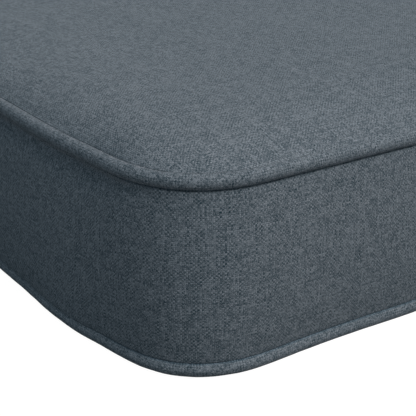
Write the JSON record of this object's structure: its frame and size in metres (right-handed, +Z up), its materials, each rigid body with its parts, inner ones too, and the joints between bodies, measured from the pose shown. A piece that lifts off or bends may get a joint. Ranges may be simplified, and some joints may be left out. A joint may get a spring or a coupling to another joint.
{
  "type": "bench cushion",
  "caption": "Box-edged bench cushion with rounded corners, a gently crowned top and a covered welt in both seams, in heathered slate cloth.",
  "frame": {"origin": "centre of the flat underside, on the surface that the cushion lies on", "axes": "+X along the cushion's length, -Y towards the front, +Z up through its thickness"},
  "size_m": [1.2289, 0.4668, 0.096],
  "materials": {
    "cover_cloth": "matt heathered plain weave, slate blue-grey",
    "welt_cloth": "the same cloth cut on the bias over a cord"
  },
  "bodies": {
    "root": {"cushion_body": "cover_cloth", "welt_top": "welt_cloth", "welt_bottom": "welt_cloth"}
  },
  "joints": []
}
